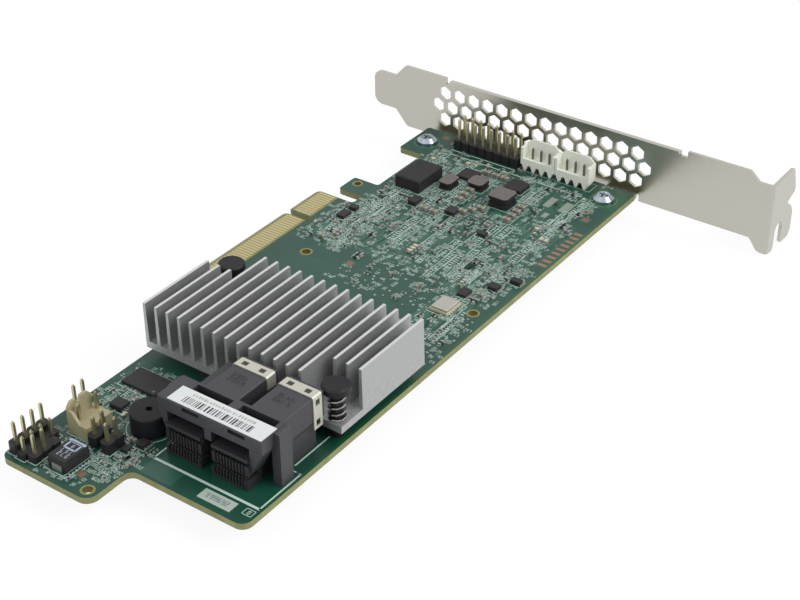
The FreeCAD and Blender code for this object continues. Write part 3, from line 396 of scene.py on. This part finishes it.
def printed(rectangles):
    """The rectangles whose four sides lie wholly on the component face, tried at short steps."""
    longest_step, kept = 0.6, []
    for rectangle in rectangles:
        a, b, c, d = turned(*rectangle)
        steps = max(math.ceil(max(math.dist(a, b), math.dist(b, c)) / longest_step), 1)
        shares = [i / steps for i in range(steps + 1)]
        border = [((1 - t) * p[0] + t * q[0], (1 - t) * p[1] + t * q[1]) for t in shares
                  for p, q in ((a, b), (d, c), (b, c), (a, d))]
        if all(on_board(x, y) for x, y in border):
            kept.append(rectangle)
    return kept


def footprints(node):
    """Boxes ((x0, x1), (y0, y1), (z0, z1)) in mm of the separate solids in a CAD node."""
    mesh = nodes[node].data
    microns = 1e6  # in a metre; corners that agree to a micron are one
    places, parent, corner_of = {}, [], []

    def root(i):
        """The corner that stands for everything joined to corner i."""
        while parent[i] != i:
            parent[i] = parent[parent[i]]
            i = parent[i]
        return i

    for vertex in mesh.vertices:
        key = tuple(round(c * microns) for c in vertex.co)
        if key not in places:
            places[key] = len(parent)
            parent.append(len(parent))
        corner_of.append(places[key])
    for edge in mesh.edges:
        a, b = (root(corner_of[v]) for v in edge.vertices)
        parent[a] = b
    solids = {}
    for key, i in places.items():
        solids.setdefault(root(i), []).append([(key[j] / microns - CORNER[j]) / MM for j in range(3)])
    return [tuple((min(p[j] for p in points), max(p[j] for p in points)) for j in range(3))
            for points in solids.values()]


def plan_of(box):
    """A box seen from above: its middle, width and depth."""
    (x0, x1), (y0, y1), _ = box
    return (x0 + x1) / 2, (y0 + y1) / 2, x1 - x0, y1 - y0


class FreeSpace:
    """What is still free on the component side, kept as a grid of cells."""

    CELL = 0.4

    def __init__(self):
        self.taken = set()

    def cells(self, x, y, width, depth, margin):
        """The cells under a rectangle that reaches the margin further on every side."""
        columns, rows = (range(math.floor((middle - size / 2 - margin) / self.CELL),
                               math.floor((middle + size / 2 + margin) / self.CELL) + 1)
                         for middle, size in ((x, width), (y, depth)))
        return {(i, j) for i in columns for j in rows}

    def take(self, x, y, width, depth, margin):
        """Take a rectangle and the margin round it."""
        self.taken |= self.cells(x, y, width, depth, margin)

    def free(self, x, y, width, depth, margin):
        """True where nothing under a rectangle and its margin has been taken."""
        return self.taken.isdisjoint(self.cells(x, y, width, depth, margin))


space = FreeSpace()


def reserve_parts():
    """Take the places of the CAD parts, the holes and the empty pads."""
    past_part, past_hole, past_pad = 0.25, 0.9, 0.7
    # the board, what hangs over it, what is under it, and what small parts keep off already
    ignored = ("circuit_board", "edge_contacts", "push_pins", "memory_chips", "push_pin_springs", "bracket")
    for name in nodes:
        if name not in ignored:
            for box in footprints(name):
                space.take(*plan_of(box), past_part)
    for x, y, r in HOLES:
        space.take(x, y, 2 * r, 2 * r, past_hole)
    for x, y, width, depth, _ in EMPTY_PADS:
        space.take(x, y, width, depth, past_pad)


def tries(plan):
    """Each zone of a plan, as many times as the plan says."""
    for zone, count in plan:
        for _ in range(count):
            yield zone


def anywhere(x0, x1, y0, y1):
    """A random place in a zone."""
    return dice.uniform(x0, x1), dice.uniform(y0, y1)


# ---------------------------------------------------------------- small parts and markings
SEGMENTS = {0: "abcdef", 1: "bc", 2: "abged", 3: "abgcd", 4: "fgbc", 5: "afgcd", 6: "afgedc", 7: "abc",
            8: "abcdefg", 9: "abcdfg"}
# ends of the segments in half heights of the numeral
SEGMENT_ENDS = {"a": ((0, 2), (1, 2)), "b": ((1, 2), (1, 1)), "c": ((1, 1), (1, 0)), "d": ((0, 0), (1, 0)),
                "e": ((0, 0), (0, 1)), "f": ((0, 1), (0, 2)), "g": ((0, 1), (1, 1))}


def digit_strokes(x, y, value, height, angle):
    """Seven-segment numeral as short strokes."""
    half, line = height / 2, height * 0.17
    c, s = direction(angle)
    drawn = []
    for name in SEGMENTS[value]:
        start, stop = ((x + u * half * c - v * half * s, y + u * half * s + v * half * c)
                       for u, v in SEGMENT_ENDS[name])
        drawn.append(stroke(start, stop, line))
    return drawn


def number_mark(x, y, digits, height, angle, pitch=None):
    """A row of arbitrary numerals."""
    pitch = pitch or height * 0.85
    c, s = direction(angle)
    drawn = []
    for i in range(digits):
        drawn += digit_strokes(x + i * pitch * c, y + i * pitch * s, dice.randrange(10), height, angle)
    return drawn


def chip_part(x, y, length, width, height, angle):
    """Body and two metal ends of a chip component, and its two lands."""
    c, s = direction(angle)
    cap, proud, land_out = length * 0.24, 1.04, length * 0.52
    land_length, land_width = cap * 1.6, width * 1.15
    body = (x, y, length - 2 * cap, width, 0, height, angle)
    ends, lands = [], []
    for side in (-1, 1):
        at_cap, at_land = side * (length - cap) / 2, side * land_out
        ends.append((x + at_cap * c, y + at_cap * s, cap, width * proud, 0, height * proud, angle))
        lands.append((x + at_land * c, y + at_land * s, land_length, land_width, angle))
    return body, ends, lands


# chip parts (length, width); how common each kind is, its height at the full width, its look and its slot
FULL_WIDTH = 0.8
CHIP_SIZES = ((1.0, 0.5), (1.0, 0.5), (1.6, FULL_WIDTH))
CHIP_KINDS = {"tan": (5, 0.85, ceramic_tan, "capacitor_tan"), "black": (5, 0.45, package, "package"),
              "cream": (1, 0.7, ceramic_cream, "capacitor_tan")}


def scatter_parts():
    """Short rows of fine chip parts where there is room; returns the plans of those that get a mark."""
    past_body, past_lands, from_edge, gap, marked_share = 0.2, 0.6, 0.6, 0.5, 0.6
    bodies = {kind: [] for kind in CHIP_KINDS}
    ends, lands, marked = [], [], []
    for zone in tries(CHIP_ROWS):
        x, y = anywhere(*zone)
        angle = dice.choice((0, 90))
        kind = dice.choices(tuple(CHIP_KINDS), [share for share, *_ in CHIP_KINDS.values()])[0]
        length, width = dice.choice(CHIP_SIZES)
        height = CHIP_KINDS[kind][1] * width / FULL_WIDTH
        along, across = (length, width) if angle == 0 else (width, length)
        step_x, step_y = (0, width + gap) if angle == 0 else (width + gap, 0)
        for i in range(dice.choice((1, 1, 2, 3, 4))):
            px, py = x + i * step_x, y + i * step_y
            if not space.free(px, py, along, across, past_body) or not inside(px, py, zone, from_edge):
                break
            if not printed([(px, py, along + past_lands, across + past_lands, 0)]):
                break
            space.take(px, py, along, across, past_body / 2)
            body, caps, pads = chip_part(px, py, length, width, height, angle)
            bodies[kind].append(body)
            ends += caps
            lands += pads
            if dice.random() < marked_share:
                marked.append((px, py, along, across))
    for kind, (_, _, look, slot) in CHIP_KINDS.items():
        blocks("chip_parts_" + kind, bodies[kind], look)
    blocks("chip_part_ends", ends, solder)
    flats("chip_lands", printed(lands), PAD_Z, solder)
    return marked


def chip_ink(marked):
    """A box round each marked chip part, or a short number beside it."""
    gap, line, height, lines = 0.35, 0.13, 0.75, []
    for x, y, along, across in marked:
        if dice.random() < 0.5:
            lines += frame_lines(x - along / 2 - gap, x + along / 2 + gap, y - across / 2 - gap,
                                 y + across / 2 + gap, line)
        else:
            lines += number_mark(x + along / 2 + gap, y - 0.4, dice.choice((2, 3)), height, 0)
    return lines


def reference_numbers():
    """Numbers wherever they would not lie under a part, but for a small overlap."""
    height, advance, overlap, lines = 0.8, 0.65, 0.1, []
    for zone in tries(NUMBERS):
        x, y = anywhere(*zone)
        angle = dice.choice((0, 0, 90, 90, -90))
        digits = dice.choice((2, 3, 3, 4))
        reach = digits * advance
        if angle == 0:
            covered = (x + reach / 2, y + height / 2, reach, height)
        else:
            covered = (x, y + math.copysign(reach / 2, angle), height, reach)
        if space.free(*covered, -overlap):
            lines += number_mark(x, y, digits, height, angle)
    return lines


def part_outlines():
    """Lines round the larger CAD parts, each at its own margin, and finer ones round the small parts."""
    margins = {"flash_chip": 0.7, "monitor_chip": 0.5, "capacitor": 0.9, "main_inductor": 0.6,
               "oscillator_base": 0.6, "tail_header_base": 0.3, "tail_middle_header_base": 0.3,
               "tail_side_header_base": 0.3, "middle_header_base": 0.3, "rear_header_base": 0.3,
               "key_header_shroud": 0.35}
    heavy, fine, close, lines = 0.2, 0.14, 0.45, []
    for name, margin in margins.items():
        lines += outline(span(name), margin, heavy)
    for name in ("small_inductors", "power_mosfets", "small_chips", "bulk_capacitors",
                 "cable_header_shrouds"):
        for box in footprints(name):
            lines += outline(box, close, fine)
    return lines


def connector_outline():
    """Line round the cable connector, heavy across its open end, with a step at its outer leg."""
    thin, heavy = 0.4, 0.65
    by_sink = [(-123.5, 1.6), (-124.0, 3.6), (-135.4, 3.6)]
    by_leg = [(-137.0, 1.9), (-137.0, 0.9), (-150.0, 0.9)]
    far_side = [(-150.0, 28.9), (-144.0, 28.9)]
    drawn = polyline(by_sink, thin) + polyline(by_leg, thin)
    drawn += polyline([by_leg[-1], far_side[0]], heavy) + polyline(far_side, thin)
    return drawn + [stroke((-137.0, 3.0), (-137.0, 1.4), 0.35)]


def row_frames():
    """Long thin boxes with ticks in them, printed along the rows of small parts."""
    line, tick, pitch, drawn = 0.18, 0.34, 0.9, []
    for zone in tries(ROW_FRAMES):
        length, depth = dice.uniform(4, 13), dice.choice((1.3, 1.7, 2.4))
        x0, x1, y0, y1 = zone
        x, y = anywhere(x0 + 1, x1 - length, y0 + 1, y1 - 3)
        if not inside(x + length, y + depth, zone) or inside(x + length / 2, y, PAD_CORNER):
            continue
        drawn += frame_lines(x, x + length, y, y + depth, line)
        drawn += [(x + 0.6 + pitch * i, y + depth / 2, tick, depth * dice.uniform(0.3, 0.6), 0)
                  for i in range(int(length / pitch))]
    return drawn


def draw_ink(marked):
    """Everything printed on the component face, as one piece."""
    lines = chip_ink(marked) + reference_numbers() + part_outlines()
    lines += connector_outline() + row_frames()
    _, x1, y0, _ = NUMERAL_BOX
    lines += frame_lines(*NUMERAL_BOX, 0.16) + digit_strokes(x1 - 0.4, y0 + 0.8, 8, 1.0, 90)
    beside, line = 0.9, LONG_LINE[2]
    (x0, _), (y0, y1), _ = span("bracket_header_base")
    lines += [(x0 - beside, (y0 + y1) / 2, line, y1 - y0, 0), LONG_LINE]
    flats("marking_ink", printed(lines), INK_Z, ink)


def draw_tracks():
    """Runs of parallel tracks under the mask, most along the board with one 45 degree jog."""
    line, across_share, strips = 0.16, 0.18, []
    for zone in tries(TRACK_GROUPS):
        x0, x1, y0, y1 = zone
        x, y = anywhere(x0, x1 - 6, y0 + 1, y1 - 3)
        count = dice.randint(3, 8)
        pitch = dice.choice((0.4, 0.5, 0.7))
        first, second = dice.uniform(3, 14), dice.uniform(2, 12)
        jog = dice.choice((-2.4, -1.2, 0, 1.2, 2.4, 3.6))
        across = dice.random() < across_share
        for i in range(count):
            offset = i * pitch
            bend = first + offset * 0.4
            after = bend + abs(jog)
            points = [(0, offset), (bend, offset), (after, offset + jog), (after + second, offset + jog)]
            placed = [(x + v, y + u) if across else (x + u, y + v) for u, v in points]
            if all(inside(u, v, zone) for u, v in placed):
                strips += polyline(placed, line)
    flats("tracks", printed(strips), TRACE_Z, copper_green)


def draw_memory_tracks():
    """Faint sweep of parallel tracks between the controller and the middle of the board."""
    line, count, pitch, drop, shift = 0.22, 16, 0.9, 0.5, 4.5
    first_x, bend_y, far_y, near_y = -70.5, 38.0, 56.0, 17.0
    strips = []
    for i in range(count):
        x, y = first_x - pitch * i, bend_y - drop * i
        strips += polyline([(x, far_y), (x, y), (x + shift, y - shift), (x + shift, near_y)], line)
    flats("memory_tracks", printed(strips), BURIED_Z, copper_faint)


def draw_vias():
    """Plated through holes on free ground, seen on both faces."""
    land, clear, spots = 0.5, 0.7, []
    for zone in tries(VIAS):
        x, y = anywhere(*zone)
        if space.free(x, y, land, land, 0.0) and printed([(x, y, clear, clear, 0)]):
            spots.append((x, y, dice.choice((0.2, 0.25, 0.32))))
    discs("vias", spots, VIA_Z, solder)
    discs("vias_under", spots, -BOARD_T - PAD_Z, solder)


def hole_lands():
    """Rings round the tooling holes, and faint ones round the bracket screws and the buzzer."""
    gap, land, screw_ring, buzzer_ring = 0.02, 0.5, (3.3, 3.6), (5.15, 5.35)
    circles = [(x, y, r + gap, r + land) for x, y, r in HOLES]
    rings("hole_lands", circles, PAD_Z, hole_ring)
    rings("hole_lands_under", circles, -BOARD_T - PAD_Z, hole_ring)
    screws = [(*plan_of(box)[:2], *screw_ring) for box in footprints("bracket_screws")]
    rings("screw_lands", screws, PAD_Z, copper_green, 36)
    buzzer = (*plan_of(span("buzzer"))[:2], *buzzer_ring)
    rings("buzzer_outline", [buzzer], INK_Z, ink, 48)


def empty_pads():
    """Tinned pads that carry no part, and changes of colour in the mask."""
    flats("empty_pads", EMPTY_PADS, PAD_Z, pad_pale)
    rings("plated_spot", [PLATED_SPOT], PAD_Z, hole_ring)
    discs("empty_dot", [EMPTY_DOT], PAD_Z, pad_pale, 16)
    flats("ground_area", [GROUND_AREA], BURIED_Z, mask_pale)
    flats("clear_borders", CLEAR_BORDERS, BURIED_Z, mask_clear)
    gap, line, outlines = 0.3, 0.12, []
    for box in footprints("copper_pads"):
        outlines += outline(box, gap, line)
    flats("pad_outlines", printed(outlines), OUTLINE_Z, copper_green)


def bare_tongues():
    """Bare laminate between the edge contacts, on both faces of each tongue."""
    side, front, widest_gap = 0.4, 0.6, 1.5
    fingers = sorted((x0, x1, y0, y1) for (x0, x1), (y0, y1), _ in footprints("edge_contacts"))
    runs = [[fingers[0]]]
    for finger in fingers[1:]:
        if finger[0] - runs[-1][-1][1] > widest_gap:
            runs.append([])
        runs[-1].append(finger)
    patches = []
    for run in runs:
        (x0, _, y0, y1), (_, x1, _, _) = run[0], run[-1]
        patches.append((*plan_of(((x0 - side, x1 + side), (y0 - front, y1), None)), 0))
    flats("bare_tongue", patches, TRACE_Z, laminate)
    flats("bare_tongue_under", patches, -BOARD_T - TRACE_Z, laminate)


# ---------------------------------------------------------------- marks on the parts themselves
def label_stripes():
    """Barcode-like stripes on the label's front half, with faint plain numerals behind them."""
    (x0, x1), (y0, y1), (_, top) = span("barcode_label")
    length = y1 - y0
    y, stop = y1 - length * 0.84, y1 - length * 0.12
    widths, gaps = (0.16, 0.16, 0.3, 0.45), (0.18, 0.3, 0.45)
    stripe_x, stripe_length, stripes = x0 + 1.75, 2.0, []
    while y < stop:
        width = dice.choice(widths)
        stripes.append((stripe_x, y, stripe_length, width, 0))
        y += width + dice.choice(gaps)
    faint = number_mark(x1 - 0.9, y0 + 4.6, 22, 0.6, 90, pitch=0.75)
    flats("label_stripes", stripes, top + LABEL_MARK, label_ink)
    flats("label_numerals", faint, top + LABEL_MARK, label_faint)
    (x0, x1), (y0, _), (_, top) = span("board_label")
    small = number_mark((x0 + x1) / 2 + 0.6, y0 + 1.5, 6, 1.1, 90, pitch=0.95)
    flats("small_label_numerals", small, top + LABEL_MARK, label_faint)


def capacitor_marks():
    """A bar at the capacitor's end, a boxed numeral and two short rows of numerals."""
    bar, line, height, half_box, row_step = 0.7, 0.45, 0.9, 1.5, 1.2
    (_, x1), (y0, y1), (_, top) = span("capacitor")
    middle = (y0 + y1) / 2
    bars = [(x1 - 0.55, middle, bar, y1 - y0 - 0.6, 0)]
    bars += frame_lines(x1 - 3.0, x1 - 0.9, middle - half_box, middle + half_box, line)
    bars += digit_strokes(x1 - 1.6, middle - 0.3, 8, height, 90)
    for row in range(2):
        bars += number_mark(x1 - 3.5 - row * row_step, y0 + 1.0, 3, height, 90, pitch=1.1)
    flats("capacitor_marks", bars, top + PART_MARK, mark_blue)


def chip_dot():
    """Pin-one dot in the flash chip's corner."""
    inset, radius = 0.9, 0.35
    (x0, _), (y0, _), (_, top) = span("flash_chip")
    spot = (x0 + inset, y0 + inset, radius)
    discs("chip_dots", [spot], top + PART_MARK, ferrite_grey, 16)


def connector_marks():
    """Plain numerals moulded beside the connector's clips, and a dark strip of painted shade for the groove
    in its flank.
    """
    height, pitch, inset, row_step = 1.2, 1.15, 2.0, 1.6
    clips = footprints("sas_clips")
    moulded = []
    for (x0, _), (y0, y1), _ in clips:
        for row in range(2):
            moulded += number_mark(x0 - inset - row * row_step, (y0 + y1) / 2 - 2.0, 4, height, 90, pitch)
    tower_top = span("sas_connector_housing")[2][1]
    flats("moulded_numerals", moulded, tower_top + LABEL_MARK, moulded_mark)
    flank = min(y0 for _, (y0, _), _ in clips) + 0.22
    # the groove's shade painted as a thin dark strip on the flank
    blocks("flank_groove_shade", [(-132.4, flank, 5.4, 0.08, 6.65, 7.1, 0)], moulded_mark)


def leads_beside(box, first, pitch, count, size, out):
    """Leads of one size (width, depth, height) along two sides of a chip."""
    (x0, _), (y0, y1), _ = box
    width, depth, height = size
    return [(x0 + first + pitch * i, y, width, depth, 0, height, 0)
            for i in range(count) for y in (y0 - out, y1 + out)]


def component_ends():
    """Metal end caps over the CAD capacitors, and short leads beside the moulded chips."""
    cap, inset, wider, proud, chip_pitch = 0.44, 0.2, 0.04, 0.03, 0.7
    caps, leads = [], []
    for box in footprints("bulk_capacitors"):
        x, _, width, _ = plan_of(box)
        _, (y0, y1), (_, top) = box
        caps += [(x, y, width + wider, cap, 0, top + proud, 0) for y in (y0 + inset, y1 - inset)]
    for box in footprints("small_chips"):
        width = plan_of(box)[2]
        count = max(int(width / chip_pitch), 2)
        pitch = width / count
        leads += leads_beside(box, pitch / 2, pitch, count, (pitch / 2, 0.5, 0.25), 0.2)
    for box in footprints("monitor_chip"):
        leads += leads_beside(box, 0.4, 0.73, 4, (0.3, 0.7, 0.3), 0.3)
    blocks("capacitor_ends", caps, solder)
    blocks("chip_leads", leads, solder)


def pin_joints():
    """Solder cones round every header pin on the underside."""
    foot, tip, tall, sides = 0.8, 0.42, 0.75, 10
    pins = [box for name in nodes if name.endswith("header_pins") for box in footprints(name)]
    vertices, faces = [], []
    for box in pins:
        x, y, _, _ = plan_of(box)
        start = len(vertices)
        for radius, z in ((foot, -BOARD_T), (tip, -BOARD_T - tall)):
            vertices += [(u, v, z) for u, v in circle(x, y, radius, sides)]
        for i in range(sides):
            k = (i + 1) % sides
            faces.append((start + k, start + i, start + sides + i, start + sides + k))
        faces.append(tuple(start + sides + i for i in reversed(range(sides))))
    piece = new_piece("solder_joints", vertices, faces, solder)
    for face in piece.data.polygons:
        face.use_smooth = len(face.vertices) == 4


# ---------------------------------------------------------------- studio
# the camera's place in mm in the board's frame, its angles in degrees and its range in metres
CAMERA_AT = (-331.1, -165.6, 212.8)
CAMERA_AZIMUTH, CAMERA_ELEVATION, CAMERA_ROLL = -53.95, 33.82, -0.685
LENS_MM, SENSOR_MM = 73.8, 36.0
CLIP_NEAR, CLIP_FAR = 0.01, 10
# the floor and the lamps, in metres and watts: name, place, side of the square, power
FLOOR_REACH, FLOOR_GAP = 6.0, 0.0002
LAMPS = (("key", (0.25, -0.75, 0.75), 0.6, 7.0), ("fill", (-0.9, 0.2, 0.8), 0.8, 3.0))


def add_camera():
    """The main view, turned to face along its azimuth and elevation and then rolled."""
    data = bpy.data.cameras.new("camera")
    data.lens, data.sensor_width = LENS_MM, SENSOR_MM
    data.clip_start, data.clip_end = CLIP_NEAR, CLIP_FAR
    camera = bpy.data.objects.new("camera", data)
    bpy.context.scene.collection.objects.link(camera)
    a, e = math.radians(CAMERA_AZIMUTH), math.radians(CAMERA_ELEVATION)
    forward = Vector((-math.sin(a) * math.cos(e), math.cos(a) * math.cos(e), -math.sin(e)))
    roll = Matrix.Rotation(math.radians(CAMERA_ROLL), 3, "Z")
    turn = forward.to_track_quat("-Z", "Y").to_matrix() @ roll
    camera.matrix_world = Matrix.Translation(CORNER + Vector(CAMERA_AT) * MM) @ turn.to_4x4()
    bpy.context.scene.camera = camera


def background_rays(tree):
    """1 for the camera's rays and for mirrored and transmitted ones, 0 for all others."""
    path = tree.nodes.new("ShaderNodeLightPath")
    seen = path.outputs["Is Camera Ray"]
    for kind in ("Is Glossy Ray", "Is Transmission Ray"):
        either = tree.nodes.new("ShaderNodeMath")
        either.operation = "MAXIMUM"
        tree.links.new(seen, either.inputs[0])
        tree.links.new(path.outputs[kind], either.inputs[1])
        seen = either.outputs[0]
    return seen


def floor_look():
    """White to the camera, with a little shading from the card, and matt white to all other rays."""
    look = bpy.data.materials.new("floor_white")
    look.use_nodes = True
    tree = look.node_tree
    tree.nodes.clear()
    paint = shader_node(tree, "ShaderNodeBsdfDiffuse", Color=(0.9, 0.9, 0.9, 1))
    glow = shader_node(tree, "ShaderNodeEmission", Color=(1, 1, 1, 1), Strength=0.9)
    shading = shader_node(tree, "ShaderNodeBsdfDiffuse", Color=(0.12, 0.12, 0.12, 1))
    both = tree.nodes.new("ShaderNodeAddShader")
    mix = tree.nodes.new("ShaderNodeMixShader")
    output = tree.nodes.new("ShaderNodeOutputMaterial")
    tree.links.new(shading.outputs[0], both.inputs[0])
    tree.links.new(glow.outputs[0], both.inputs[1])
    tree.links.new(background_rays(tree), mix.inputs[0])
    tree.links.new(paint.outputs[0], mix.inputs[1])
    tree.links.new(both.outputs[0], mix.inputs[2])
    tree.links.new(mix.outputs[0], output.inputs["Surface"])
    return look


def add_floor():
    """A wide white floor just below the card."""
    z = cad_bounds[0][2] - FLOOR_GAP
    corners = [(u * FLOOR_REACH, v * FLOOR_REACH, z) for u, v in ((-1, -1), (1, -1), (1, 1), (-1, 1))]
    mesh = bpy.data.meshes.new("floor")
    mesh.from_pydata(corners, [], [(0, 1, 2, 3)])
    mesh.materials.append(floor_look())
    ground = bpy.data.objects.new("floor", mesh)
    bpy.context.scene.collection.objects.link(ground)


def add_lamp(name, place, size, power):
    """A square lamp that points at the origin."""
    data = bpy.data.lights.new(name, "AREA")
    data.shape, data.size, data.energy = "SQUARE", size, power
    lamp = bpy.data.objects.new(name, data)
    lamp.location = place
    lamp.rotation_mode = "QUATERNION"
    lamp.rotation_quaternion = (-Vector(place)).to_track_quat("-Z", "Y")
    bpy.context.scene.collection.objects.link(lamp)


def add_light():
    """White surroundings, dimmer as a light than they look, and two lamps."""
    scene = bpy.context.scene
    world = bpy.data.worlds.new("studio")
    scene.world = world
    world.use_nodes = True
    tree = world.node_tree
    back = tree.nodes["Background"]
    back.inputs["Color"].default_value = (1, 1, 1, 1)
    strength = shader_node(tree, "ShaderNodeMapRange", To_Min=0.55, To_Max=1.0)
    tree.links.new(background_rays(tree), strength.inputs["Value"])
    tree.links.new(strength.outputs["Result"], back.inputs["Strength"])
    for lamp in LAMPS:
        add_lamp(*lamp)
    scene.view_settings.view_transform = "Standard"


dress_nodes()
dress_board()
dress_tops()
reserve_parts()
marked_parts = scatter_parts()
draw_tracks()
draw_memory_tracks()
draw_vias()
draw_ink(marked_parts)
hole_lands()
empty_pads()
bare_tongues()
label_stripes()
capacitor_marks()
chip_dot()
connector_marks()
component_ends()
pin_joints()
add_floor()
add_light()
add_camera()
